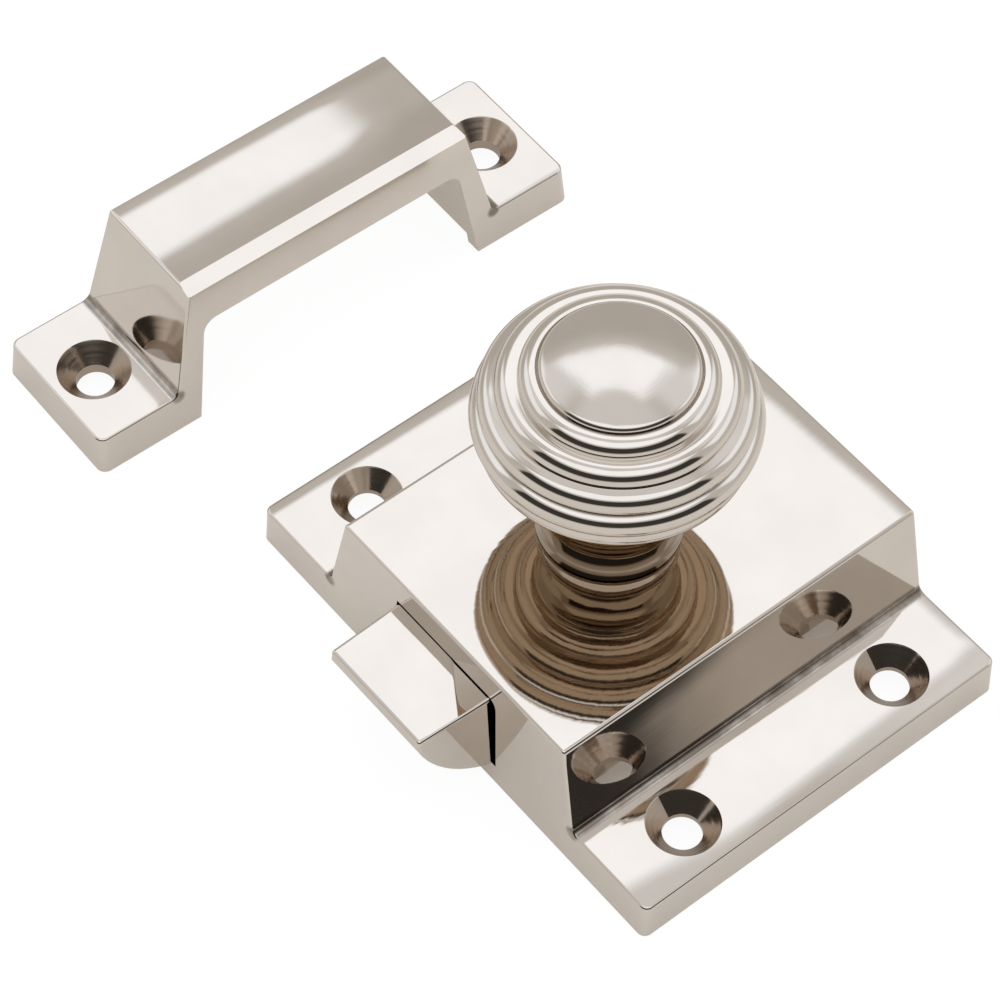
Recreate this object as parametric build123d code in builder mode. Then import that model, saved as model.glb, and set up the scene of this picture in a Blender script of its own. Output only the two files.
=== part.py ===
from build123d import *
from math import atan, cos, degrees, radians, sin, tan
import os

os.makedirs("parts", exist_ok=True)

# A cupboard catch: a surface-mounted spring latch with a reeded turning knob,
# and the bridge keep that its bolt shoots into.
# Millimetres and degrees. The back of the latch lies on z = 0, its long side
# runs along X, the bolt points along -Y and the knob stands up along +Z.

# Case: plate with two flanges and a raised box
plate_length = 67.0
plate_width = 51.4
flange_thickness = 5.3
flange_length = 12.3
box_wall_lean = 2.45
case_height = 18.0
face_draft = 1.9
end_draft = 2.4
wall_root_round = 1.0
box_edge_round = 0.5
plate_corner_round = 1.0
outline_round = 0.35

# Fixing screw holes in the flanges
case_hole_inset_x = 5.9
case_hole_inset_y = 10.5
case_hole_diameter = 4.5
case_sink_diameter = 8.4
sink_angle = 90.0

# Relief behind each flange, inside a rim that bears on the door
flange_relief_depth = 2.7
flange_relief_rim = 2.0
flange_relief_corner = 1.5

# Pocket that holds the mechanism, open at the back
side_wall = 5.2
front_wall = 3.3
top_wall = 3.0
pocket_corner = 2.5

# Back cover, let into the back of the case
cover_thickness = 1.6
cover_ledge_x = 4.6
cover_ledge_y = 1.7
cover_gap = 0.15
cover_corner = 1.5
cover_screw_inset_x = 2.4
cover_screw_inset_y = 9.1
cover_screw_diameter = 2.5
cover_screw_head = 4.6
cover_screw_length = 4.4
cover_screw_slot = 0.6
cover_screw_sunk = 0.05

# Knob axis, a little towards one flange and the bolt as on the real casting
axis_x = -1.3
axis_y = -1.9

# Spindle and its bearing in the case
spindle_diameter = 8.0
spindle_play = 0.05
boss_diameter = 14.0
square_size = 5.6
stub_diameter = 6.0
stub_length = 9.0
stub_hole_spare = 0.6

# Thrust washer between the boss and the crank
washer_diameter = 12.0
washer_thickness = 0.8
washer_bore_play = 0.1
end_play = 0.2

# Crank and the pin that draws the bolt
crank_thickness = 3.2
crank_hub_radius = 6.0
crank_end_radius = 3.1
crank_radius = 9.0
knob_swing = 60.0
pin_diameter = 4.0
pin_slot_play = 0.15
crank_lift = 0.6

# Screw that holds the crank on the spindle
crank_screw_diameter = 3.0
crank_screw_head_diameter = 5.6
crank_screw_head_height = 2.2
crank_screw_length = 5.5
crank_screw_slot = 0.8
fit_gap = 0.02

# Bolt
bolt_top_width = 15.9
bolt_root_width = 18.1
bolt_offset_x = 0.2
bolt_taper = 2.2
bolt_head_height = 11.1
bolt_projection = 9.1
bolt_tip_flat = 1.6
bolt_nose_radius = 16.3
bolt_edge_round = 0.4
bolt_head_inside = 2.9
mouth_near_play = 0.25
mouth_far_play_top = 0.85
mouth_far_play_foot = 0.5
mouth_top_play = 0.2
mouth_sill_play = 0.2
mouth_corner = 1.5
bolt_sill_step = 1.0
tail_floor_gap = 0.5
tail_thickness = 4.5
tail_side_play = 0.25
shoulder_gap = 0.15
tail_corner = 3.0
window_left = 10.0
window_margin = 1.2
window_round = 1.0

# Spring lug on the bolt, the spring and its seat on the rear wall
lug_width = 10.0
lug_depth = 4.4
lug_height = 9.2
lug_gap = 0.8
spring_diameter = 5.4
spring_wire = 0.45
spring_turns = 10
spring_seat_depth = 3.4
spring_seat_play = 0.4
spring_end_gap = 0.1
spring_centre_height = 5.4
nib_diameter = 3.4
nib_length = 2.2

# Knob: an oblate head of turned reeds on a waisted neck
knob_rest_gap = 0.15
head_diameter = 31.4
head_depth = 19.2
head_centre_height = 19.35
reed_radius = 1.6
reed_angles = (0.0, 19.2, 34.9, 49.7)
reed_groove_round = 0.35
dome_radius = 8.6
dome_crown = 1.35
dome_edge_round = 0.6
underside_radius = 8.4
underside_drop = 9.1
underside_edge_round = 0.3
waist_radius = 5.2
waist_height = 6.9
collar_top_radius = 8.1
collar_foot_radius = 8.25
collar_height = 3.95
collar_flare_height = 1.45
collar_edge_round = 0.25

# Keep: a bridge on two screwed feet, lying square to the latch
keep_centre_x = -61.2
keep_centre_y = -0.3
keep_turn = 89.0
keep_length = 68.5
keep_width = 19.6
keep_foot_thickness = 5.3
keep_foot_length = 11.05
keep_wall_lean = 3.35
keep_wall_thickness = 2.6
keep_gap_lean = 2.2
keep_height = 20.2
keep_bridge_thickness = 5.6
keep_draft = 5.3
keep_end_draft = 4.0
keep_gap_round = 2.0
keep_root_round = 1.2
keep_edge_round = 0.5
keep_corner_round = 1.2
keep_outline_round = 0.3
keep_lead_in = 2.2
keep_lead_in_angle = 10.0
keep_hole_inset = 5.6
keep_hole_diameter = 4.6
keep_sink_diameter = 8.8
keep_recess_depth = 1.8
keep_lip = 2.0

# Lengths, heights and places worked out from the sizes above
box_foot_length = plate_length - 2 * flange_length
box_top_length = box_foot_length - 2 * box_wall_lean
case_hole_spacing_x = plate_length - 2 * case_hole_inset_x
case_hole_spacing_y = plate_width - 2 * case_hole_inset_y
pocket_length = box_foot_length - 2 * side_wall
keep_wall_foot = keep_length - 2 * keep_foot_length
keep_wall_top = keep_wall_foot - 2 * keep_wall_lean
keep_gap_foot = keep_wall_foot - 2 * keep_wall_thickness
keep_gap_top = keep_gap_foot - 2 * keep_gap_lean
keep_gap_height = keep_height - keep_bridge_thickness
keep_hole_spacing = keep_length - 2 * keep_hole_inset
flange_flare = flange_thickness * tan(radians(end_draft))
keep_flare = keep_foot_thickness * tan(radians(keep_end_draft))
keep_top_width = keep_width - 2 * keep_height * tan(radians(keep_draft))
half_width = plate_width / 2
pocket_half_y = half_width - front_wall
pocket_top_z = case_height - top_wall
cover_length = pocket_length + 2 * cover_ledge_x
cover_width = 2 * (pocket_half_y + cover_ledge_y)
cover_screw_spacing_x = cover_length - 2 * cover_screw_inset_x
cover_screw_spacing_y = cover_width - 2 * cover_screw_inset_y
tail_bottom_z = cover_thickness + tail_floor_gap
tail_top_z = tail_bottom_z + tail_thickness
bolt_bottom_z = tail_bottom_z + bolt_sill_step
bolt_top_z = bolt_bottom_z + bolt_head_height
crank_bottom_z = tail_top_z + crank_lift
crank_top_z = crank_bottom_z + crank_thickness
boss_face_z = crank_top_z + washer_thickness + end_play
boss_depth = pocket_top_z - boss_face_z
knob_foot_z = case_height + knob_rest_gap
bolt_travel = 2 * crank_radius * sin(radians(knob_swing / 2))
pin_x = axis_x + crank_radius * cos(radians(knob_swing / 2))
pin_y = axis_y - crank_radius * sin(radians(knob_swing / 2))
bolt_tip_y = -half_width - bolt_projection
head_rear_y = -pocket_half_y + bolt_head_inside
tail_front_y = -pocket_half_y + shoulder_gap
tail_rear_y = axis_y + crank_hub_radius + lug_gap + lug_depth
mouth_foot_z = bolt_bottom_z - mouth_sill_play
mouth_top_z = bolt_top_z + mouth_top_play
mouth_rear_y = head_rear_y + bolt_travel + shoulder_gap
bolt_centre_x = axis_x + bolt_offset_x
spring_axis_z = tail_bottom_z + spring_centre_height
spring_seat_y = tail_rear_y - spring_seat_depth
sink_depth = (case_sink_diameter - case_hole_diameter) / 2 / tan(radians(sink_angle / 2))

knob_section = Plane(origin=(axis_x, axis_y, 0), x_dir=(1, 0, 0), z_dir=(0, -1, 0))


def leaning_face(y, lean):
    """Plane of a cast end face that leans back from y, at z = 0, by lean degrees."""
    outward = 1 if y > 0 else -1
    normal = (0, outward * cos(radians(lean)), sin(radians(lean)))
    return Plane(origin=(0, y, 0), x_dir=(1, 0, 0), z_dir=normal)


# Case
with BuildPart() as case:
    with BuildSketch(Plane.XZ) as case_profile:
        with BuildLine():
            Polyline(
                (-plate_length / 2 - flange_flare, 0),
                (-plate_length / 2, flange_thickness),
                (-box_foot_length / 2, flange_thickness),
                (-box_top_length / 2, case_height),
                (box_top_length / 2, case_height),
                (box_foot_length / 2, flange_thickness),
                (plate_length / 2, flange_thickness),
                (plate_length / 2 + flange_flare, 0),
                close=True,
            )
        make_face()
        box_corners = case_profile.vertices().group_by(Axis.Y)[-1]
        fillet(box_corners, box_edge_round)
        wall_roots = case_profile.vertices().group_by(Axis.Y)[1].sort_by(Axis.X)[1:3]
        fillet(wall_roots, wall_root_round)
    extrude(amount=half_width, both=True)
    split(bisect_by=leaning_face(-half_width, face_draft), keep=Keep.BOTTOM)
    split(bisect_by=leaning_face(half_width, face_draft), keep=Keep.BOTTOM)
    plate_corners = case.edges().filter_by(lambda e: abs(e.center().X) > plate_length / 2)
    fillet(plate_corners.filter_by(lambda e: abs(e.center().Y) > half_width / 2), plate_corner_round)
    end_faces = case.faces().sort_by(Axis.Y)[0] + case.faces().sort_by(Axis.Y)[-1]
    outer_faces = case.faces().sort_by(Axis.X)[0] + case.faces().sort_by(Axis.X)[-1]
    outline = (end_faces.edges() + outer_faces.edges()).filter_by(
        lambda e: e.center().Z > flange_thickness - outline_round
    )
    fillet(outline, outline_round)

    # Pocket with the spindle boss and the spring nib left standing in it
    with BuildSketch(Plane.XY):
        RectangleRounded(pocket_length, 2 * pocket_half_y, pocket_corner)
    extrude(amount=pocket_top_z, mode=Mode.SUBTRACT)
    with BuildSketch(Plane.XY.offset(boss_face_z)):
        with Locations((axis_x, axis_y)):
            Circle(boss_diameter / 2)
    extrude(amount=boss_depth)
    with BuildSketch(Plane.XZ.offset(-pocket_half_y)):
        with Locations((axis_x, spring_axis_z)):
            Circle(nib_diameter / 2)
    extrude(amount=nib_length)

    # Rebate for the back cover
    with BuildSketch(Plane.XY):
        RectangleRounded(cover_length + 2 * cover_gap, cover_width + 2 * cover_gap, cover_corner)
    extrude(amount=cover_thickness, mode=Mode.SUBTRACT)

    # Reliefs behind the flanges
    relief_inner_x = cover_length / 2 + cover_gap + flange_relief_rim
    relief_length = plate_length / 2 - flange_relief_rim - relief_inner_x
    with BuildSketch(Plane.XY):
        with GridLocations(2 * relief_inner_x + relief_length, 0, 2, 1):
            RectangleRounded(
                relief_length, plate_width - 2 * flange_relief_rim, flange_relief_corner
            )
    extrude(amount=flange_relief_depth, mode=Mode.SUBTRACT)

    # Mouth for the bolt in the front wall, wider below like the bolt itself
    with BuildSketch(Plane.XZ.offset(half_width)) as mouth:
        with BuildLine():
            Polyline(
                (bolt_centre_x - bolt_root_width / 2 - mouth_near_play, mouth_foot_z),
                (bolt_centre_x - bolt_top_width / 2 - mouth_near_play, mouth_top_z),
                (bolt_centre_x + bolt_top_width / 2 + mouth_far_play_top, mouth_top_z),
                (bolt_centre_x + bolt_root_width / 2 + mouth_far_play_foot, mouth_foot_z),
                close=True,
            )
        make_face()
        fillet(mouth.vertices().group_by(Axis.Y)[-1].sort_by(Axis.X)[-1], mouth_corner)
    extrude(amount=-(half_width + mouth_rear_y), mode=Mode.SUBTRACT)

    # Spindle bearing, countersunk flange holes and tapped holes for the cover
    with Locations((axis_x, axis_y, case_height)):
        Hole(spindle_diameter / 2 + spindle_play, depth=case_height - boss_face_z)
    with Locations((0, 0, flange_thickness)):
        with GridLocations(case_hole_spacing_x, case_hole_spacing_y, 2, 2):
            CounterSinkHole(
                case_hole_diameter / 2,
                case_sink_diameter / 2,
                depth=flange_thickness,
                counter_sink_angle=sink_angle,
            )
    with BuildSketch(Plane.XY):
        with GridLocations(cover_screw_spacing_x, cover_screw_spacing_y, 2, 2):
            Circle(cover_screw_diameter / 2 + fit_gap)
    extrude(amount=cover_screw_length + cover_screw_sunk, mode=Mode.SUBTRACT)
case.part.label = "case"

# Back cover
with BuildPart() as back_cover:
    with BuildSketch(Plane.XY):
        RectangleRounded(cover_length, cover_width, cover_corner - cover_gap)
    extrude(amount=cover_thickness)
    with Locations(Plane(origin=(0, 0, 0), z_dir=(0, 0, -1))):
        with GridLocations(cover_screw_spacing_x, cover_screw_spacing_y, 2, 2):
            CounterSinkHole(
                cover_screw_diameter / 2 + cover_gap,
                cover_screw_head / 2 + cover_gap,
                depth=cover_thickness,
                counter_sink_angle=sink_angle,
            )
back_cover.part.label = "back_cover"

# Cover screws, four alike
cone_depth = (cover_screw_head - cover_screw_diameter) / 2
with BuildPart() as cover_screw:
    with BuildSketch(Plane.XZ):
        with BuildLine():
            Polyline(
                (0, cover_screw_sunk),
                (cover_screw_head / 2, cover_screw_sunk),
                (cover_screw_diameter / 2, cover_screw_sunk + cone_depth),
                (cover_screw_diameter / 2, cover_screw_length),
                (0, cover_screw_length),
                close=True,
            )
        make_face()
    revolve(axis=Axis.Z)
    with BuildSketch(Plane.XY.offset(cover_screw_sunk)):
        Rectangle(cover_screw_head, cover_screw_slot)
    extrude(amount=cover_screw_slot, mode=Mode.SUBTRACT)
with BuildPart() as cover_screws:
    with GridLocations(cover_screw_spacing_x, cover_screw_spacing_y, 2, 2):
        add(cover_screw.part)
cover_screws.part.label = "cover_screws"

# Bolt: curved nose on a frame-shaped tail with a lug for the spring
nose_side = Plane(origin=(axis_x, 0, 0), x_dir=(0, 1, 0), z_dir=(1, 0, 0))
tip_flat_z = bolt_top_z - bolt_tip_flat
with BuildPart() as bolt:
    with BuildSketch(nose_side):
        with BuildLine():
            Line((bolt_tip_y, bolt_top_z), (bolt_tip_y, tip_flat_z))
            RadiusArc(
                (bolt_tip_y, tip_flat_z), (-half_width, bolt_bottom_z), radius=-bolt_nose_radius
            )
            Polyline(
                (-half_width, bolt_bottom_z),
                (head_rear_y, bolt_bottom_z),
                (head_rear_y, bolt_top_z),
                (bolt_tip_y, bolt_top_z),
            )
        make_face()
    extrude(amount=bolt_root_width, both=True)
    with BuildSketch(Plane.XZ):
        with Locations((bolt_centre_x, bolt_bottom_z)):
            Trapezoid(
                bolt_root_width,
                bolt_head_height,
                degrees(atan(2 * bolt_head_height / (bolt_root_width - bolt_top_width))),
                align=(Align.CENTER, Align.MIN),
            )
    extrude(amount=-bolt_tip_y, mode=Mode.INTERSECT)
    side_lean = (bolt_root_width - bolt_top_width) / 2 / bolt_head_height
    for side in (-1, 1):
        side_edge = (bolt_centre_x + side * bolt_top_width / 2, -half_width, bolt_top_z)
        side_normal = (side, -tan(radians(bolt_taper)), side_lean)
        split(bisect_by=Plane(origin=side_edge, z_dir=side_normal), keep=Keep.BOTTOM)
    top_face = bolt.faces().sort_by(Axis.Z)[-1]
    tip_face = bolt.faces().sort_by(Axis.Y)[0]
    nose_edges = (top_face.edges() + tip_face.edges()).filter_by(lambda e: e.center().Y < head_rear_y - 1)
    fillet(nose_edges, bolt_edge_round)

    # Tail that runs between the pocket walls
    tail_length = tail_rear_y - tail_front_y
    tail_width = pocket_length - 2 * tail_side_play
    with BuildSketch(Plane.XY.offset(tail_bottom_z)):
        with Locations((0, (tail_rear_y + tail_front_y) / 2)):
            RectangleRounded(tail_width, tail_length, tail_corner)
    extrude(amount=tail_thickness)
    with BuildSketch(Plane.XY.offset(tail_bottom_z)):
        with Locations((axis_x, tail_rear_y - lug_depth / 2)):
            Rectangle(lug_width, lug_depth)
    extrude(amount=lug_height)

    # Window round the crank screw, cross slot for the pin and the spring seat
    window_right = crank_screw_head_diameter / 2 + window_margin
    window_front_y = axis_y - bolt_travel - window_right
    window_rear_y = axis_y + window_right
    with BuildSketch(Plane.XY.offset(tail_bottom_z)):
        with Locations(
            (axis_x + (window_right - window_left) / 2, (window_front_y + window_rear_y) / 2)
        ):
            RectangleRounded(
                window_left + window_right, window_rear_y - window_front_y, window_round
            )
    extrude(amount=tail_thickness, mode=Mode.SUBTRACT)
    slot_radius = pin_diameter / 2 + pin_slot_play
    slot_reach = axis_x + crank_radius - pin_x
    with BuildSketch(Plane.XY.offset(tail_bottom_z)):
        with Locations((pin_x + slot_reach / 2, pin_y)):
            SlotCenterToCenter(slot_reach + 2 * pin_slot_play, 2 * slot_radius)
    extrude(amount=tail_thickness, mode=Mode.SUBTRACT)
    with BuildSketch(Plane.XZ.offset(-tail_rear_y)):
        with Locations((axis_x, spring_axis_z)):
            Circle(spring_diameter / 2 + spring_seat_play)
    extrude(amount=spring_seat_depth, mode=Mode.SUBTRACT)
bolt.part.label = "bolt"

# Bolt spring, a compression coil between the lug and the rear wall
spring_length = pocket_half_y - spring_seat_y - 2 * spring_end_gap - spring_wire
spring_start_y = spring_seat_y + spring_end_gap + spring_wire / 2
coil_radius = (spring_diameter - spring_wire) / 2
with BuildPart() as bolt_spring:
    with BuildLine() as coil:
        Helix(
            pitch=spring_length / spring_turns,
            height=spring_length,
            radius=coil_radius,
            center=(axis_x, spring_start_y, spring_axis_z),
            direction=(0, 1, 0),
        )
    with BuildSketch(Plane(origin=coil.line @ 0, z_dir=coil.line % 0)):
        Circle(spring_wire / 2)
    sweep(path=coil.line, is_frenet=True)
bolt_spring.part.label = "bolt_spring"

# Knob, turned in one piece
head_z = knob_foot_z + head_centre_height
reed_path_x = head_diameter / 2 - reed_radius
reed_path_z = head_depth / 2 - reed_radius
reed_sides = [sign * angle for angle in reed_angles for sign in (1, -1) if angle or sign > 0]
dome_top_z = head_z + head_depth / 2
dome_edge_z = dome_top_z - dome_crown
underside_z = head_z - underside_drop
waist_z = knob_foot_z + waist_height
collar_top_z = knob_foot_z + collar_height
flare_top_z = knob_foot_z + collar_flare_height
with BuildPart() as knob:
    with BuildSketch(knob_section) as knob_profile:
        with BuildLine():
            ThreePointArc(
                (0, dome_top_z),
                (dome_radius / 2, dome_top_z - dome_crown / 4),
                (dome_radius, dome_edge_z),
            )
            Polyline(
                (dome_radius, dome_edge_z),
                (dome_radius, head_z),
                (underside_radius, head_z),
                (underside_radius, underside_z),
            )
            ThreePointArc(
                (underside_radius, underside_z),
                (waist_radius, waist_z),
                (collar_top_radius, collar_top_z),
            )
            Line((collar_top_radius, collar_top_z), (collar_top_radius, flare_top_z))
            TangentArc(
                (collar_top_radius, flare_top_z), (collar_foot_radius, knob_foot_z), tangent=(0, -1)
            )
            Polyline((collar_foot_radius, knob_foot_z), (0, knob_foot_z), (0, dome_top_z))
        make_face()
        dome_rim = knob_profile.vertices().filter_by(lambda v: abs(v.Y - dome_edge_z) < fit_gap)
        fillet(dome_rim, dome_edge_round)
        under_rim = knob_profile.vertices().filter_by(lambda v: abs(v.Y - underside_z) < fit_gap)
        fillet(under_rim, underside_edge_round)
        collar_rim = knob_profile.vertices().filter_by(lambda v: abs(v.Y - collar_top_z) < fit_gap)
        fillet(collar_rim, collar_edge_round)
        with Locations((0, head_z)):
            Ellipse(reed_path_x, reed_path_z)
        for angle in reed_sides:
            reed_x = reed_path_x * cos(radians(angle))
            with Locations((reed_x, head_z + reed_path_z * sin(radians(angle)))):
                Circle(reed_radius)
        with Locations((head_diameter, head_z)):
            Rectangle(2 * head_diameter, 4 * head_diameter, mode=Mode.INTERSECT)
        grooves = knob_profile.vertices().filter_by(lambda v: v.X > dome_radius + reed_radius)
        fillet(grooves, reed_groove_round)
    revolve(axis=Axis((axis_x, axis_y, 0), (0, 0, 1)))
    with BuildSketch(Plane.XY.offset(knob_foot_z)):
        with Locations((axis_x, axis_y)):
            Circle(stub_diameter / 2 + fit_gap)
    extrude(amount=stub_length + stub_hole_spare, mode=Mode.SUBTRACT)
knob.part.label = "knob"

# Spindle: stub in the knob, journal in the case, square for the crank
with BuildPart() as spindle:
    with BuildSketch(Plane.XY.offset(crank_top_z)):
        with Locations((axis_x, axis_y)):
            Circle(spindle_diameter / 2)
    extrude(amount=knob_foot_z - crank_top_z)
    with BuildSketch(Plane.XY.offset(knob_foot_z)):
        with Locations((axis_x, axis_y)):
            Circle(stub_diameter / 2)
    extrude(amount=stub_length)
    with BuildSketch(Plane.XY.offset(crank_bottom_z)):
        with Locations(Location((axis_x, axis_y), -knob_swing / 2)):
            Rectangle(square_size, square_size)
    extrude(amount=crank_thickness)
    with BuildSketch(Plane.XY.offset(crank_bottom_z)):
        with Locations((axis_x, axis_y)):
            Circle(crank_screw_diameter / 2 + fit_gap)
    extrude(amount=crank_screw_length + fit_gap, mode=Mode.SUBTRACT)
spindle.part.label = "spindle"

# Thrust washer
with BuildPart() as thrust_washer:
    with BuildSketch(Plane.XY.offset(crank_top_z)):
        with Locations((axis_x, axis_y)):
            Circle(washer_diameter / 2)
            Circle(spindle_diameter / 2 + washer_bore_play, mode=Mode.SUBTRACT)
    extrude(amount=washer_thickness)
thrust_washer.part.label = "thrust_washer"

# Crank: a hub and a short arm, one tapering plate
with BuildPart() as crank:
    with BuildSketch(Plane.XY.offset(crank_bottom_z)):
        with Locations((axis_x, axis_y)):
            Circle(crank_hub_radius)
        with Locations((pin_x, pin_y)):
            Circle(crank_end_radius)
        make_hull()
        with Locations(Location((axis_x, axis_y), -knob_swing / 2)):
            Rectangle(square_size + 2 * fit_gap, square_size + 2 * fit_gap, mode=Mode.SUBTRACT)
        with Locations((pin_x, pin_y)):
            Circle(pin_diameter / 2 + fit_gap, mode=Mode.SUBTRACT)
    extrude(amount=crank_thickness)
crank.part.label = "crank"

# Crank pin, pressed into the arm and reaching down through the bolt's slot
pin_bottom_z = tail_bottom_z + fit_gap
with BuildPart() as crank_pin:
    with BuildSketch(Plane.XY.offset(pin_bottom_z)):
        with Locations((pin_x, pin_y)):
            Circle(pin_diameter / 2)
    extrude(amount=crank_top_z - pin_bottom_z)
    chamfer(crank_pin.edges().group_by(Axis.Z)[0], bolt_edge_round)
crank_pin.part.label = "crank_pin"

# Cheese-head screw that holds the crank on the spindle
with BuildPart() as crank_screw:
    with BuildSketch(Plane.XY.offset(crank_bottom_z - crank_screw_head_height)):
        with Locations((axis_x, axis_y)):
            Circle(crank_screw_head_diameter / 2)
    extrude(amount=crank_screw_head_height)
    with BuildSketch(Plane.XY.offset(crank_bottom_z)):
        with Locations((axis_x, axis_y)):
            Circle(crank_screw_diameter / 2)
    extrude(amount=crank_screw_length)
    with BuildSketch(Plane.XY.offset(crank_bottom_z - crank_screw_head_height)):
        with Locations((axis_x, axis_y)):
            Rectangle(crank_screw_head_diameter, crank_screw_slot)
    extrude(amount=crank_screw_slot, mode=Mode.SUBTRACT)
crank_screw.part.label = "crank_screw"

# Keep, in its own frame: long side along its X, lead-in edge towards its -Y
with BuildPart() as keep_casting:
    with BuildSketch(Plane.XZ) as keep_profile:
        with BuildLine():
            Polyline(
                (-keep_length / 2 - keep_flare, 0),
                (-keep_length / 2, keep_foot_thickness),
                (-keep_wall_foot / 2, keep_foot_thickness),
                (-keep_wall_top / 2, keep_height),
                (keep_wall_top / 2, keep_height),
                (keep_wall_foot / 2, keep_foot_thickness),
                (keep_length / 2, keep_foot_thickness),
                (keep_length / 2 + keep_flare, 0),
                (keep_gap_foot / 2, 0),
                (keep_gap_top / 2, keep_gap_height),
                (-keep_gap_top / 2, keep_gap_height),
                (-keep_gap_foot / 2, 0),
                close=True,
            )
        make_face()
        fillet(keep_profile.vertices().group_by(Axis.Y)[3], keep_edge_round)
        fillet(keep_profile.vertices().group_by(Axis.Y)[2], keep_gap_round)
        keep_roots = keep_profile.vertices().group_by(Axis.Y)[1].sort_by(Axis.X)[1:3]
        fillet(keep_roots, keep_root_round)
    extrude(amount=keep_width / 2, both=True)
    split(bisect_by=leaning_face(-keep_width / 2, keep_draft), keep=Keep.BOTTOM)
    split(bisect_by=leaning_face(keep_width / 2, keep_draft), keep=Keep.BOTTOM)
    foot_corners = keep_casting.edges().filter_by(lambda e: abs(e.center().X) > keep_length / 2)
    foot_corners = foot_corners.filter_by(lambda e: abs(e.center().Y) > keep_width / 4)
    fillet(foot_corners, keep_corner_round)
    outer_faces = keep_casting.faces().sort_by(Axis.X)[0] + keep_casting.faces().sort_by(Axis.X)[-1]
    foot_outline = outer_faces.edges().filter_by(
        lambda e: e.center().Z > keep_foot_thickness - keep_outline_round
    )
    fillet(foot_outline, keep_outline_round)
    lead_in_face = Plane(
        origin=(0, keep_lead_in - keep_top_width / 2, keep_height),
        x_dir=(1, 0, 0),
        z_dir=(0, -sin(radians(keep_lead_in_angle)), cos(radians(keep_lead_in_angle))),
    )
    split(bisect_by=lead_in_face, keep=Keep.BOTTOM)
    with Locations((0, 0, keep_foot_thickness)):
        with GridLocations(keep_hole_spacing, 0, 2, 1):
            CounterSinkHole(
                keep_hole_diameter / 2,
                keep_sink_diameter / 2,
                depth=keep_foot_thickness,
                counter_sink_angle=sink_angle,
            )
    with BuildSketch(Plane.XY):
        Rectangle(keep_length - 2 * keep_lip, keep_width - 2 * keep_lip)
    extrude(amount=keep_recess_depth, mode=Mode.SUBTRACT)
keep_place = Plane(
    origin=(keep_centre_x, keep_centre_y, 0),
    x_dir=(cos(radians(keep_turn)), sin(radians(keep_turn)), 0),
    z_dir=(0, 0, 1),
)
with BuildPart(keep_place) as keep:
    add(keep_casting.part)
keep.part.label = "keep"

export_step(case.part, "parts/case.step")
export_step(back_cover.part, "parts/back_cover.step")
export_step(cover_screws.part, "parts/cover_screws.step")
export_step(bolt.part, "parts/bolt.step")
export_step(bolt_spring.part, "parts/bolt_spring.step")
export_step(knob.part, "parts/knob.step")
export_step(spindle.part, "parts/spindle.step")
export_step(thrust_washer.part, "parts/thrust_washer.step")
export_step(crank.part, "parts/crank.step")
export_step(crank_pin.part, "parts/crank_pin.step")
export_step(crank_screw.part, "parts/crank_screw.step")
export_step(keep.part, "parts/keep.step")
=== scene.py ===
import math
from typing import NamedTuple

import bpy
from mathutils import Matrix, Vector


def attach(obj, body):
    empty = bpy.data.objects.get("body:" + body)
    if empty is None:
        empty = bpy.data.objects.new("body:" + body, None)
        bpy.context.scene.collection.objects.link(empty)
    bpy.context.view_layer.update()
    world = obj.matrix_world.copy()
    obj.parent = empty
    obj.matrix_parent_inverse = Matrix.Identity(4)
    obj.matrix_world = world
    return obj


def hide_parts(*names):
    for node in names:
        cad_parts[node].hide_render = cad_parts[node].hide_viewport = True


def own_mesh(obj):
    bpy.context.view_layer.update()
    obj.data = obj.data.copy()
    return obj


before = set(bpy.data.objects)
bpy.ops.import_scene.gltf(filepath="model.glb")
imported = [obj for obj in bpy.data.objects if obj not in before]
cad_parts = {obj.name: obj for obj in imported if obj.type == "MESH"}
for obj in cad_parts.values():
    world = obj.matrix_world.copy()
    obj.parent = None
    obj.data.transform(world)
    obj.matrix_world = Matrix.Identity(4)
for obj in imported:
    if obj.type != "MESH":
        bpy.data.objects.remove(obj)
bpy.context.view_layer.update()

MM = 0.001

# Camera, placed by azimuth, elevation, roll, distance and shift across the view
AZIMUTH = math.radians(49.52)
ELEVATION = math.radians(54.35)
ROLL = math.radians(1.65)
DISTANCE = 429.6 * MM
SHIFT_RIGHT = -13.99 * MM
SHIFT_UP = 12.50 * MM
FOCAL_PIXELS = 3789.5
FRAME_PIXELS = 1000.0
SENSOR = 36.0
NEAR, FAR = 0.02, 20.0

# Directions: from the object back to the camera, level to its right, up its view, and level away
BACK = Vector((
    math.sin(AZIMUTH) * math.cos(ELEVATION),
    -math.cos(AZIMUTH) * math.cos(ELEVATION),
    math.sin(ELEVATION),
))
LEVEL_RIGHT = Vector((math.cos(AZIMUTH), math.sin(AZIMUTH), 0.0))
LEVEL_UP = BACK.cross(LEVEL_RIGHT)
AWAY = Vector((-math.sin(AZIMUTH), math.cos(AZIMUTH), 0.0))


def make_camera():
    right = math.cos(ROLL) * LEVEL_RIGHT + math.sin(ROLL) * LEVEL_UP
    up = -math.sin(ROLL) * LEVEL_RIGHT + math.cos(ROLL) * LEVEL_UP
    place = DISTANCE * BACK + SHIFT_RIGHT * right + SHIFT_UP * up
    data = bpy.data.cameras.new("camera")
    data.sensor_width = SENSOR
    data.lens = FOCAL_PIXELS / FRAME_PIXELS * SENSOR
    data.clip_start = NEAR
    data.clip_end = FAR
    camera = bpy.data.objects.new("camera", data)
    bpy.context.scene.collection.objects.link(camera)
    turned = Matrix((right, up, BACK)).transposed().to_4x4()
    camera.matrix_world = Matrix.Translation(place) @ turned
    bpy.context.scene.camera = camera


def opaque(colour):
    """Colour as a shader socket takes it; a socket stays as it is."""
    return (*colour, 1.0) if isinstance(colour, tuple) else colour


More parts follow.
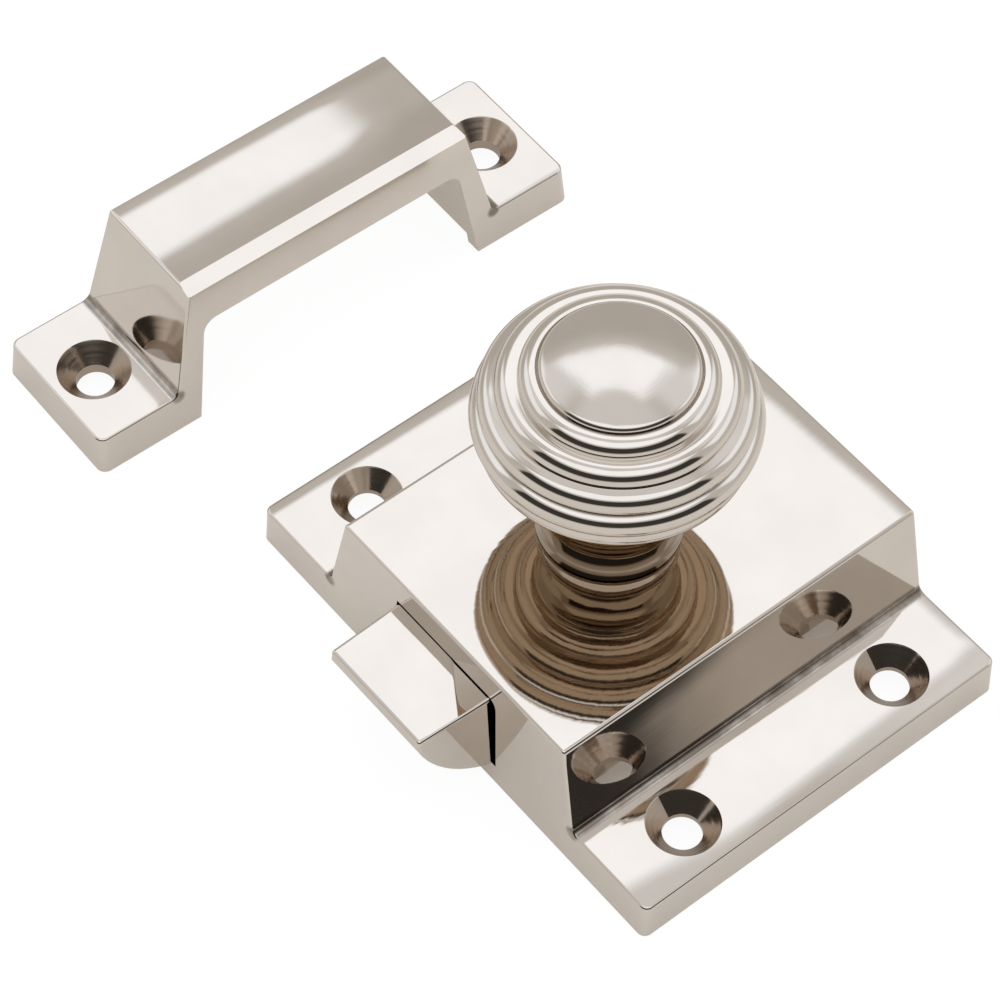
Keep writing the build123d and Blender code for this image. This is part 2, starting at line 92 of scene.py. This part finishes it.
class Nodes:
    """Shorthand for building one node tree."""

    def __init__(self, tree):
        self.tree = tree
        tree.nodes.clear()

    def add(self, kind, **values):
        node = self.tree.nodes.new(kind)
        for key, value in values.items():
            setattr(node, key, value)
        return node

    def feed(self, socket, value):
        if isinstance(value, bpy.types.NodeSocket):
            self.tree.links.new(value, socket)
        else:
            socket.default_value = value

    def math(self, operation, first, second=0.0, third=0.0):
        node = self.add("ShaderNodeMath", operation=operation)
        for socket, value in zip(node.inputs, (first, second, third)):
            self.feed(socket, value)
        return node.outputs[0]

    def vmath(self, operation, first, second=(0.0, 0.0, 0.0)):
        node = self.add("ShaderNodeVectorMath", operation=operation)
        self.feed(node.inputs[0], first)
        self.feed(node.inputs[1], second)
        return node.outputs["Value"] if operation in ("DOT_PRODUCT", "LENGTH") else node.outputs[0]

    def split(self, vector):
        node = self.add("ShaderNodeSeparateXYZ")
        self.feed(node.inputs[0], vector)
        return node.outputs

    def join(self, x=0.0, y=0.0, z=0.0):
        node = self.add("ShaderNodeCombineXYZ")
        for socket, value in zip(node.inputs, (x, y, z)):
            self.feed(socket, value)
        return node.outputs[0]

    def smooth(self, value, low, high, out_low=0.0, out_high=1.0):
        node = self.add("ShaderNodeMapRange", interpolation_type="SMOOTHSTEP")
        self.feed(node.inputs["Value"], value)
        self.feed(node.inputs["From Min"], low)
        self.feed(node.inputs["From Max"], high)
        self.feed(node.inputs["To Min"], out_low)
        self.feed(node.inputs["To Max"], out_high)
        return node.outputs[0]

    def window(self, value, rise_from, rise_to, fall_from, fall_to):
        """One between rise_to and fall_from, nought outside, with soft edges."""
        rise = self.smooth(value, rise_from, rise_to)
        fall = self.smooth(value, fall_from, fall_to, 1.0, 0.0)
        return self.math("MULTIPLY", rise, fall)

    def mix(self, factor, first, second):
        """Blend of two colours, each a socket or (red, green, blue)."""
        node = self.add("ShaderNodeMix", data_type="RGBA")
        factor_in, first_in, second_in = (node.inputs[i] for i in (0, 6, 7))
        self.feed(factor_in, factor)
        self.feed(first_in, opaque(first))
        self.feed(second_in, opaque(second))
        return node.outputs[2]

    def paint(self, base, colour, amount, mask):
        """base, with colour laid over it by amount where mask is one."""
        return self.mix(self.math("MULTIPLY", mask, amount), base, colour)

    def towards(self, value, target, mask):
        """value, moved to target where mask is one."""
        return self.math("MULTIPLY_ADD", self.math("SUBTRACT", target, value), mask, value)

    def noise(self, vector, scale, detail=2.0, roughness=0.5):
        node = self.add("ShaderNodeTexNoise")
        self.feed(node.inputs["Vector"], vector)
        node.inputs["Scale"].default_value = scale
        node.inputs["Detail"].default_value = detail
        node.inputs["Roughness"].default_value = roughness
        return node.outputs[0]

    def stretched(self, vector, scale):
        node = self.add("ShaderNodeMapping", vector_type="POINT")
        self.feed(node.inputs["Vector"], vector)
        node.inputs["Scale"].default_value = scale
        return node.outputs[0]

    def in_frame(self, vector, centre, turn):
        """vector in a frame that stands at centre, turned about z."""
        node = self.add("ShaderNodeMapping", vector_type="TEXTURE")
        self.feed(node.inputs["Vector"], vector)
        node.inputs["Location"].default_value = centre
        node.inputs["Rotation"].default_value = (0.0, 0.0, turn)
        return node.outputs[0]

    def bump(self, height, distance, normal=None):
        node = self.add("ShaderNodeBump")
        node.inputs["Strength"].default_value = 1.0
        node.inputs["Distance"].default_value = distance
        self.feed(node.inputs["Height"], height)
        if normal is not None:
            self.feed(node.inputs["Normal"], normal)
        return node.outputs[0]

    def turn_normal(self, vector, source, target):
        node = self.add("ShaderNodeVectorTransform", vector_type="NORMAL",
                        convert_from=source, convert_to=target)
        self.feed(node.inputs[0], vector)
        return node.outputs[0]

    def emission(self, colour, strength):
        node = self.add("ShaderNodeEmission")
        node.inputs["Color"].default_value = opaque(colour)
        node.inputs["Strength"].default_value = strength
        return node.outputs[0]

    def diffuse(self, colour):
        node = self.add("ShaderNodeBsdfDiffuse")
        node.inputs["Color"].default_value = opaque(colour)
        return node.outputs[0]

    def add_shaders(self, first, second):
        node = self.add("ShaderNodeAddShader")
        self.feed(node.inputs[0], first)
        self.feed(node.inputs[1], second)
        return node.outputs[0]

    def by_ray(self, reflected, seen):
        """seen where the camera looks straight at it, reflected for every other ray."""
        node = self.add("ShaderNodeMixShader")
        self.feed(node.inputs[0], self.add("ShaderNodeLightPath").outputs["Is Camera Ray"])
        self.feed(node.inputs[1], reflected)
        self.feed(node.inputs[2], seen)
        return node.outputs[0]


# Studio seen by the polished metal. Each patch is a level of brightness between two
# elevations and two angles to either side of the direction away from the camera, in degrees:
# (level, (elevation rises from, to, falls from, to), (side rises from, to, falls from, to))
BASE_LEVEL = 0.66
PATCHES = (
    (0.55, (-10, 0, 36, 44), (-2, -1, 50, 66)),
    (1.20, (18, 28, 44, 52), (32, 44, 90, 98)),
    (0.82, (66, 72, 100, 101), (-2, -1, 88, 104)),
    (1.38, (44, 48.5, 67, 71.5), (-2, -1, 26, 40)),
    (0.92, (44, 50, 60, 68), (28, 40, 60, 80)),
    (1.34, (48, 56, 84, 90), (90, 102, 181, 182)),
    (0.62, (18, 28, 44, 50), (94, 101, 110, 115)),
    (0.05, (0, 10, 40, 46), (109.5, 115, 181, 182)),
)

# Dim parts of the room are a little warmer than the bright ones
WARM = (1.05, 1.00, 0.94)
COOL = (0.965, 1.00, 1.045)
WARM_BELOW, COOL_ABOVE = 0.45, 1.15
WHITE = (1.0, 1.0, 1.0)


def make_world():
    world = bpy.data.worlds.new("studio")
    bpy.context.scene.world = world
    world.use_nodes = True
    n = Nodes(world.node_tree)
    ray = n.add("ShaderNodeTexCoord").outputs["Generated"]
    height = n.split(ray)[2]
    elevation = n.math("DEGREES", n.math("ARCSINE", height))
    across = n.vmath("DOT_PRODUCT", ray, LEVEL_RIGHT)
    along = n.vmath("DOT_PRODUCT", ray, AWAY)
    side = n.math("DEGREES", n.math("ABSOLUTE", n.math("ARCTAN2", across, along)))
    level = BASE_LEVEL
    for target, rise, spread in PATCHES:
        mask = n.math("MULTIPLY", n.window(elevation, *rise), n.window(side, *spread))
        level = n.towards(level, target, mask)
    tint = n.mix(n.smooth(level, WARM_BELOW, COOL_ABOVE), WARM, COOL)
    room = n.add("ShaderNodeBackground")
    n.feed(room.inputs["Color"], tint)
    n.feed(room.inputs["Strength"], level)
    seen = n.add("ShaderNodeBackground")
    seen.inputs["Color"].default_value = opaque(WHITE)
    choose = n.by_ray(room.outputs[0], seen.outputs[0])
    n.feed(n.add("ShaderNodeOutputWorld").inputs[0], choose)


FLOOR_RADIUS, FLOOR_DROP, FLOOR_SIDES = 2.5, 0.05 * MM, 96
FLOOR_COLOUR = (0.66, 0.64, 0.61)
FLOOR_LIGHT, FLOOR_LIGHT_STRENGTH = (1.0, 0.96, 0.91), 0.31
FLOOR_SEEN_COLOUR, FLOOR_SEEN_STRENGTH = (0.12, 0.12, 0.12), 0.93


def make_floor():
    """A pale floor that glows white to the camera, as an overexposed table does."""
    turns = [i * math.tau / FLOOR_SIDES for i in range(FLOOR_SIDES)]
    ring = [(FLOOR_RADIUS * math.cos(a), FLOOR_RADIUS * math.sin(a), -FLOOR_DROP) for a in turns]
    mesh = bpy.data.meshes.new("floor")
    mesh.from_pydata(ring, [], [tuple(range(FLOOR_SIDES))])
    floor = bpy.data.objects.new("floor", mesh)
    bpy.context.scene.collection.objects.link(floor)
    material = bpy.data.materials.new("pale_floor")
    material.use_nodes = True
    n = Nodes(material.node_tree)
    pale = n.add_shaders(n.diffuse(FLOOR_COLOUR), n.emission(FLOOR_LIGHT, FLOOR_LIGHT_STRENGTH))
    white = n.add_shaders(n.diffuse(FLOOR_SEEN_COLOUR), n.emission(WHITE, FLOOR_SEEN_STRENGTH))
    n.feed(n.add("ShaderNodeOutputMaterial").inputs[0], n.by_ray(pale, white))
    mesh.materials.append(material)


# Colours: bare and plated metals, a darker brown for countersinks, and a painted shade for inner
# corners and grooves
NICKEL = (0.70, 0.645, 0.59)
STEEL = (0.56, 0.55, 0.53)
SCREW_STEEL = (0.60, 0.59, 0.57)
SPRING_STEEL = (0.42, 0.41, 0.39)
COVER_SHEET = (0.66, 0.60, 0.50)
BARE_BRASS = (0.72, 0.53, 0.28)
# A darker brown painted into the countersinks
COUNTERSINK_BROWN = (0.44, 0.36, 0.29)
# Painted shade, laid into inner corners and into the knob's grooves
PAINTED_SHADE = (0.14, 0.11, 0.085)

# Fine texture, as noise scales per metre, and how much finer the clouds are than the waves
CLOUD_TO_WAVE = 1.7
BRUSHED_SCALE = 1400.0
LATHE_SCALE = 1500.0
DRILLED_SCALE = 2400.0
# Scale of the patches in the painted shade of inner corners
SHADE_PATCH_SCALE = 300.0

# A face comes to count as level, or as facing down, while its normal's z goes from one to the other
LEVEL_FROM, LEVEL_TO = 0.987, 0.996
DOWN_FROM, DOWN_TO = 0.05, -0.35

# Countersinks, inner corners and grooves: soft edges, rings left by the drill, darker brown paint in
# countersinks, painted shade in inner corners and grooves, dullness
HOLE_SOFT_EDGE, HOLE_LAP = 0.15 * MM, 0.02 * MM
HOLE_RING_DEPTH = 1.6e-5
# How strongly the countersinks are painted darker brown
HOLE_DARKENING = 0.85
DULL_ROUGHNESS = 0.12
ROOT_FAR, ROOT_NEAR = 1.15 * MM, 0.55 * MM
# How dark the painted shade in the knob's grooves is
GROOVE_SHADE = 0.7


class Crown(NamedTuple):
    """A slope along an axis that grows evenly from the piece's middle."""
    axis: int
    radius: float


class RollOff(NamedTuple):
    """A slope along an axis that sets in between two places, for faces above a height.

    lean is how far these places shift for each metre across the axis.
    """
    axis: int
    start: float
    end: float
    slope: float
    above: float = 0.0
    lean: float = 0.0


class Holes(NamedTuple):
    """Countersinks at (+-x, +-y) in the piece's own frame, with their rim's radius."""
    x: float
    y: float
    rim: float


class Root(NamedTuple):
    """Inner corners at a distance along x to either side, and at a height."""
    x: float
    height: float


class Turned(NamedTuple):
    """What turning leaves round an axis, the soft places of a turned piece, and the painted shade on
    it.

    Below neck_height and nearer to the axis than neck_radius the metal is painted darker brown as
    shade, above dome_height and nearer than dome_radius its polish is softer, and its downward faces
    are painted brown as shade.
    """
    axis: tuple
    ring_depth: float
    underside_shade: tuple = ()
    underside_shade_amount: float = 0.0
    neck_shade: tuple = ()
    neck_radius: float = 0.0
    neck_height: float = 0.0
    neck_shade_amount: float = 0.0
    dome_radius: float = 0.0
    dome_height: float = 0.0
    dome_roughness: float = 0.0


def tilt_level_faces(n, own, local, slopes, above, turn):
    """own normal, tilted on level faces by the slow slopes that hand polishing leaves."""
    level = n.smooth(n.split(own)[2], LEVEL_FROM, LEVEL_TO)
    level = n.math("MULTIPLY", level, n.smooth(local[2], above, above + 0.1 * MM))
    total = [0.0, 0.0]
    for form in slopes:
        if isinstance(form, Crown):
            slope = n.math("DIVIDE", local[form.axis], form.radius)
        else:
            across = n.math("MULTIPLY", local[1 - form.axis], form.lean)
            along = n.math("ADD", local[form.axis], across)
            slope = n.math("MULTIPLY", n.smooth(along, form.start, form.end), form.slope)
            slope = n.math("MULTIPLY", slope, n.math("GREATER_THAN", local[2], form.above))
        total[form.axis] = n.math("ADD", total[form.axis], slope)
    cos_turn, sin_turn = math.cos(turn), math.sin(turn)
    tilt_x = n.math("SUBTRACT", n.math("MULTIPLY", total[0], cos_turn),
                    n.math("MULTIPLY", total[1], sin_turn))
    tilt_y = n.math("ADD", n.math("MULTIPLY", total[0], sin_turn),
                    n.math("MULTIPLY", total[1], cos_turn))
    tilt = n.join(n.math("MULTIPLY", tilt_x, level), n.math("MULTIPLY", tilt_y, level))
    return n.vmath("NORMALIZE", n.vmath("ADD", own, tilt))


def metal(name, colour, roughness, wave=0.0, wave_size=90.0, grain=(1.0, 1.0, 1.0), grain_depth=0.0,
          rough_spread=0.02, tone_spread=0.05, frame_at=(0.0, 0.0, 0.0), frame_turn=0.0,
          slopes=(), slopes_above=0.0, holes=None, root=None, turned=None):
    """A polished, turned or brushed metal.

    wave and wave_size give the depth and scale of the unevenness of hand buffing, grain the
    stretch of the fine brushed lines and grain_depth their depth. frame_at and frame_turn place
    the piece's own frame, in which slopes, holes and root are given.
    """
    material = bpy.data.materials.new(name)
    material.use_nodes = True
    n = Nodes(material.node_tree)
    place = n.add("ShaderNodeTexCoord").outputs["Object"]
    local = n.split(n.in_frame(place, frame_at, frame_turn))
    cloud = n.noise(place, wave_size * CLOUD_TO_WAVE, 3.0, 0.55)
    fine = n.noise(n.stretched(place, grain), BRUSHED_SCALE, 3.0, 0.6)
    rough = n.math("MULTIPLY_ADD", n.math("SUBTRACT", cloud, 0.5), rough_spread * 2, roughness)
    rough = n.math("MULTIPLY_ADD", n.math("SUBTRACT", fine, 0.5), rough_spread, rough)
    dimmer = tuple(c * (1.0 - tone_spread) for c in colour)
    base = n.mix(n.smooth(cloud, 0.25, 0.75), dimmer, colour)
    normal = n.add("ShaderNodeNewGeometry").outputs["Normal"]
    own = n.turn_normal(normal, "WORLD", "OBJECT")
    # Downward faces of a turned piece are painted brown as shade
    if turned and turned.underside_shade:
        shade_below = n.smooth(n.split(own)[2], DOWN_FROM, DOWN_TO)
        base = n.paint(base, turned.underside_shade, turned.underside_shade_amount, shade_below)
    if slopes:
        own = tilt_level_faces(n, own, local, slopes, slopes_above, frame_turn)
        normal = n.turn_normal(own, "OBJECT", "WORLD")
    if wave:
        normal = n.bump(n.noise(place, wave_size, 1.5, 0.45), wave, normal)
    if grain_depth:
        normal = n.bump(fine, grain_depth, normal)
    if holes:
        dx = n.math("SUBTRACT", n.math("ABSOLUTE", local[0]), holes.x)
        dy = n.math("SUBTRACT", n.math("ABSOLUTE", local[1]), holes.y)
        radius = n.vmath("LENGTH", n.join(dx, dy))
        inside = n.smooth(radius, holes.rim - HOLE_SOFT_EDGE, holes.rim + HOLE_LAP, 1.0, 0.0)
        rings = n.noise(n.join(radius, n.math("MULTIPLY", local[2], 0.3)), DRILLED_SCALE, 2.0, 0.7)
        normal = n.bump(n.math("MULTIPLY", rings, inside), HOLE_RING_DEPTH, normal)
        rough = n.math("MULTIPLY_ADD", inside, DULL_ROUGHNESS, rough)
        # Countersinks are painted a darker brown
        base = n.paint(base, COUNTERSINK_BROWN, HOLE_DARKENING, inside)
    # Inner corners: a patchy painted shade, and duller polish, where the wall meets the flange
    if root:
        away = n.join(n.math("SUBTRACT", n.math("ABSOLUTE", local[0]), root.x), 0.0,
                      n.math("SUBTRACT", local[2], root.height))
        shaded_corner = n.smooth(n.vmath("LENGTH", away), ROOT_FAR, ROOT_NEAR)
        patchy_shade = n.smooth(n.noise(place, SHADE_PATCH_SCALE, 3.0, 0.6), 0.3, 0.65, 0.35, 0.8)
        base = n.paint(base, PAINTED_SHADE, patchy_shade, shaded_corner)
        rough = n.math("MULTIPLY_ADD", shaded_corner, DULL_ROUGHNESS, rough)
    if turned:
        x, y = n.split(place)[:2]
        radius = n.vmath("LENGTH", n.join(n.math("SUBTRACT", x, turned.axis[0]),
                                          n.math("SUBTRACT", y, turned.axis[1])))
        rings = n.noise(n.join(radius, local[2]), LATHE_SCALE, 2.0, 0.6)
        normal = n.bump(rings, turned.ring_depth, normal)
    if turned and turned.neck_shade:
        on_dome = n.smooth(radius, turned.dome_radius, turned.dome_radius - 0.2 * MM)
        above = n.math("GREATER_THAN", local[2], turned.dome_height)
        rough = n.math("MULTIPLY_ADD", n.math("MULTIPLY", on_dome, above),
                       turned.dome_roughness, rough)
        # The neck below the head is painted darker brown as shade
        near = n.smooth(radius, turned.neck_radius, turned.neck_radius - 0.4 * MM)
        below = n.smooth(local[2], turned.neck_height, turned.neck_height - MM)
        base = n.paint(base, turned.neck_shade, turned.neck_shade_amount, n.math("MULTIPLY", near, below))
        # Grooves between the reeds: painted shade, set by the groove depth stored in the mesh
        groove = n.add("ShaderNodeAttribute", attribute_name=GROOVE).outputs["Fac"]
        base = n.paint(base, PAINTED_SHADE, GROOVE_SHADE, n.smooth(groove, 0.1, 0.9))
    shader = n.add("ShaderNodeBsdfPrincipled")
    n.feed(shader.inputs["Base Color"], base)
    shader.inputs["Metallic"].default_value = 1.0
    n.feed(shader.inputs["Roughness"], rough)
    n.feed(shader.inputs["Normal"], normal)
    n.feed(n.add("ShaderNodeOutputMaterial").inputs[0], shader.outputs[0])
    return material


GROOVE = "groove"
SHARP_ANGLE = math.radians(40.0)


def lathe(name, profile, axis, around=288):
    """A turned piece: profile is (radius, height, depth in a groove) from the top of its axis down."""
    verts, faces, rings, depths = [], [], [], []
    for radius, height, depth in profile:
        if radius < 1e-6:
            rings.append([len(verts)] * around)
            verts.append((axis[0], axis[1], height))
            depths.append(depth)
            continue
        rings.append(list(range(len(verts), len(verts) + around)))
        depths += [depth] * around
        for i in range(around):
            turn = i * math.tau / around
            verts.append((axis[0] + radius * math.cos(turn), axis[1] + radius * math.sin(turn), height))
    for upper, lower in zip(rings, rings[1:]):
        for i in range(around):
            j = (i + 1) % around
            face = (upper[i], lower[i], lower[j], upper[j])
            faces.append(tuple(dict.fromkeys(face)))
    mesh = bpy.data.meshes.new(name)
    mesh.from_pydata(verts, [], faces)
    mesh.shade_smooth()
    mesh.set_sharp_from_angle(angle=SHARP_ANGLE)
    mesh.attributes.new(GROOVE, "FLOAT", "POINT").data.foreach_set("value", depths)
    piece = bpy.data.objects.new(name, mesh)
    bpy.context.scene.collection.objects.link(piece)
    return piece


def arc(start, through, end, steps):
    """Points of the circle through three points, from start to end."""
    (ax, ay), (bx, by), (cx, cy) = start, through, end
    twice = 2.0 * (ax * (by - cy) + bx * (cy - ay) + cx * (ay - by))
    a2, b2, c2 = ax * ax + ay * ay, bx * bx + by * by, cx * cx + cy * cy
    ox = (a2 * (by - cy) + b2 * (cy - ay) + c2 * (ay - by)) / twice
    oy = (a2 * (cx - bx) + b2 * (ax - cx) + c2 * (bx - ax)) / twice
    radius = math.hypot(ax - ox, ay - oy)
    first, last = (math.atan2(y - oy, x - ox) for x, y in (start, end))
    middle = math.atan2(by - oy, bx - ox)
    sweep = (last - first) % math.tau
    if (middle - first) % math.tau > sweep:
        sweep -= math.tau
    return [(ox + radius * math.cos(first + sweep * i / steps),
             oy + radius * math.sin(first + sweep * i / steps)) for i in range(steps + 1)]


def soft_max(values, melt):
    """The largest value, rounded up to it over a difference of about melt."""
    top = max(values)
    return top + melt * math.log(sum(math.exp((value - top) / melt) for value in values))


# Knob, in mm: its head is an oval set with reeds, and z is measured from the head's middle
KNOB_AXIS = (-1.3 * MM, -1.9 * MM)
HEAD_HEIGHT = 37.5
OVAL_REACH, OVAL_HALF = 14.1, 8.0
REED_RADIUS, REED_MELT = 1.6, 0.10
REED_ANGLES = (0.0, 19.2, 34.9, 49.7)
HEAD_FROM, HEAD_STEP, HEAD_STEPS = 40.9, 0.6, 160
DOME_TOP, DOME_RADIUS = 9.6, 8.6
GROOVE_WIDTH = 0.3
NECK_RADIUS, WAIST_RADIUS, COLLAR_RADIUS = 8.4, 5.2, 8.1
NECK_TOP, NECK_BEAD_TOP, NECK_BEAD_FOOT = -8.1, -8.82, -9.1
WAIST_Z, COLLAR_TOP, COLLAR_FOOT, KNOB_FOOT = -12.45, -15.4, -17.9, -19.35


def reeded_head():
    """The reeded part of the head, as (radius, z, depth in a groove) from the dome down."""
    turns = sorted({sign * a for a in REED_ANGLES for sign in (1, -1)})
    centres = [(OVAL_REACH * math.cos(math.radians(a)), OVAL_HALF * math.sin(math.radians(a)))
               for a in turns]
    points = []
    for i in range(HEAD_STEPS):
        angle = math.radians(HEAD_FROM - HEAD_STEP * i)
        u = (math.cos(angle), math.sin(angle))
        oval = OVAL_REACH * OVAL_HALF / math.hypot(OVAL_HALF * u[0], OVAL_REACH * u[1])
        reaches = [oval]
        for x, z in centres:
            along = x * u[0] + z * u[1]
            room = REED_RADIUS ** 2 - (x * x + z * z - along * along)
            if room > 0.0:
                reaches.append(along + math.sqrt(room))
        far = soft_max(reaches, REED_MELT)
        if u[1] < 0.0 and far * u[0] < NECK_RADIUS + 0.02:
            break
        nearest, second = sorted(reaches)[:-3:-1]
        depth = max(0.0, 1.0 - (nearest - second) / GROOVE_WIDTH)
        points.append((far * u[0], far * u[1], depth))
    return points


def knob_outline():
    """Outline of the turned knob, radius and height in metres, with its sizes as the solid has them."""
    top, rim = DOME_TOP, DOME_RADIUS
    dome = arc((0.0, top), (rim / 2, top - 0.34), (rim - 0.5, top - 1.19), 24)
    dome += arc((rim - 0.5, top - 1.19), (rim - 0.13, top - 1.48), (rim, top - 1.9), 8)[1:]
    rim_groove = [(rim, top - 2.15, 0.6), (rim + 0.06, top - 2.22, 0.6), (rim + 0.14, top - 2.18, 0.3)]
    neck_end = (NECK_RADIUS - 0.26, NECK_BEAD_FOOT)
    stem = [(NECK_RADIUS, NECK_TOP), (NECK_RADIUS, NECK_BEAD_TOP),
            (NECK_RADIUS - 0.08, NECK_BEAD_TOP - 0.2), neck_end]
    stem += arc(neck_end, (WAIST_RADIUS, WAIST_Z), (COLLAR_RADIUS - 0.22, COLLAR_TOP), 40)[1:]
    stem += [(COLLAR_RADIUS - 0.07, COLLAR_TOP - 0.07), (COLLAR_RADIUS, COLLAR_TOP - 0.24),
             (COLLAR_RADIUS, COLLAR_FOOT)]
    stem += arc((COLLAR_RADIUS, COLLAR_FOOT), (COLLAR_RADIUS + 0.037, COLLAR_FOOT - 0.73),
                (COLLAR_RADIUS + 0.15, KNOB_FOOT), 8)[1:]
    stem += [(0.0, KNOB_FOOT)]
    points = [(radius, z, 0.0) for radius, z in dome] + rim_groove + reeded_head()
    points += [(radius, z, 0.0) for radius, z in stem]
    return [(radius * MM, (HEAD_HEIGHT + z) * MM, depth) for radius, z, depth in points]


# Axes of a piece's own frame, and the height above which the keep has only its bridge
X, Y = 0, 1
BRIDGE = 19.0 * MM

finishes = {
    "case": metal(
        "nickel_case", NICKEL, 0.04, wave=7e-5, wave_size=70.0, grain=(1.0, 0.06, 1.0),
        grain_depth=2.5e-6, slopes_above=5.0 * MM,
        slopes=(Crown(X, 0.65), Crown(Y, 0.65), RollOff(Y, 20.5 * MM, 25.5 * MM, 0.085),
                RollOff(X, 28.0 * MM, 33.6 * MM, 0.105), RollOff(X, -30.8 * MM, -33.4 * MM, -0.10)),
        holes=Holes(27.6 * MM, 15.2 * MM, 4.2 * MM), root=Root(21.2 * MM, 5.3 * MM),
    ),
    "keep": metal(
        "nickel_keep", NICKEL, 0.075, wave=3e-5, wave_size=80.0, grain=(1.0, 0.06, 1.0),
        grain_depth=1e-6, frame_at=(-61.2 * MM, -0.3 * MM, 0.0), frame_turn=math.radians(89.0),
        slopes_above=5.0 * MM,
        slopes=(RollOff(Y, 5.0 * MM, 8.0 * MM, 0.10, BRIDGE),
                RollOff(Y, 1.0 * MM, -5.0 * MM, 0.11, BRIDGE),
                RollOff(X, 6.0 * MM, 17.0 * MM, 0.09, BRIDGE),
                RollOff(Y, -8.2 * MM, -9.6 * MM, 0.06),
                RollOff(X, -31.5 * MM, -34.2 * MM, -0.09)),
        holes=Holes(28.65 * MM, 0.0, 4.4 * MM), root=Root(23.2 * MM, 5.3 * MM),
    ),
    "knob": metal(
        "nickel_knob", NICKEL, 0.035, wave=1.4e-4, wave_size=110.0,
        # The knob's downward faces and its neck are painted brown as shade
        turned=Turned(KNOB_AXIS, 4e-6, underside_shade=(0.40, 0.29, 0.19), underside_shade_amount=0.95,
                      neck_shade=(0.26, 0.19, 0.12), neck_radius=8.6 * MM, neck_height=30.0 * MM,
                      neck_shade_amount=0.9, dome_radius=8.6 * MM, dome_height=44.0 * MM,
                      dome_roughness=0.09),
    ),
    "bolt": metal(
        "nickel_bolt", NICKEL, 0.05, wave=6e-5, wave_size=90.0, grain=(0.06, 1.0, 1.0),
        grain_depth=3e-6, slopes_above=10.0 * MM,
        slopes=(Crown(X, 0.5), RollOff(Y, -25.3 * MM, -24.8 * MM, 0.17, lean=0.66),
                RollOff(Y, -33.0 * MM, -34.8 * MM, -0.10)),
    ),
    "back_cover": metal("cover_sheet", COVER_SHEET, 0.25, wave=2e-6, wave_size=60.0,
                        grain=(0.05, 1.0, 1.0), grain_depth=1e-6, rough_spread=0.06),
    "cover_screws": metal("screw_steel", SCREW_STEEL, 0.22, grain_depth=1e-6, rough_spread=0.05),
    "crank_screw": metal("crank_screw_steel", SCREW_STEEL, 0.24, grain_depth=1e-6,
                         rough_spread=0.05),
    "spindle": metal("spindle_steel", STEEL, 0.2, rough_spread=0.05,
                     turned=Turned(KNOB_AXIS, 2e-6)),
    "crank": metal("crank_steel", STEEL, 0.3, grain=(1.0, 0.08, 1.0), grain_depth=2e-6,
                   rough_spread=0.08),
    "crank_pin": metal("pin_steel", STEEL, 0.18, grain_depth=5e-7, rough_spread=0.04),
    "thrust_washer": metal("washer_brass", BARE_BRASS, 0.25, wave=3e-6, rough_spread=0.06),
    "bolt_spring": metal("spring_wire", SPRING_STEEL, 0.3, grain_depth=1e-6, rough_spread=0.08),
}
for node, material in finishes.items():
    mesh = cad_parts[node].data
    mesh.materials.clear()
    mesh.materials.append(material)

knob = lathe("turned_knob", knob_outline(), KNOB_AXIS)
knob.data.materials.append(finishes["knob"])
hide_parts("knob")
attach(knob, "knob")

# The spring, between the sliding bolt and its seat on the case's rear wall, is copied with a mesh of
# its own and attached to the case
spring = bpy.data.objects.new("pressed_spring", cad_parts["bolt_spring"].data.copy())
bpy.context.scene.collection.objects.link(spring)
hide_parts("bolt_spring")
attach(spring, "case")
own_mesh(spring)

make_camera()
make_world()
make_floor()
bpy.context.scene.view_settings.view_transform = "Standard"
bpy.context.scene.view_settings.look = "None"
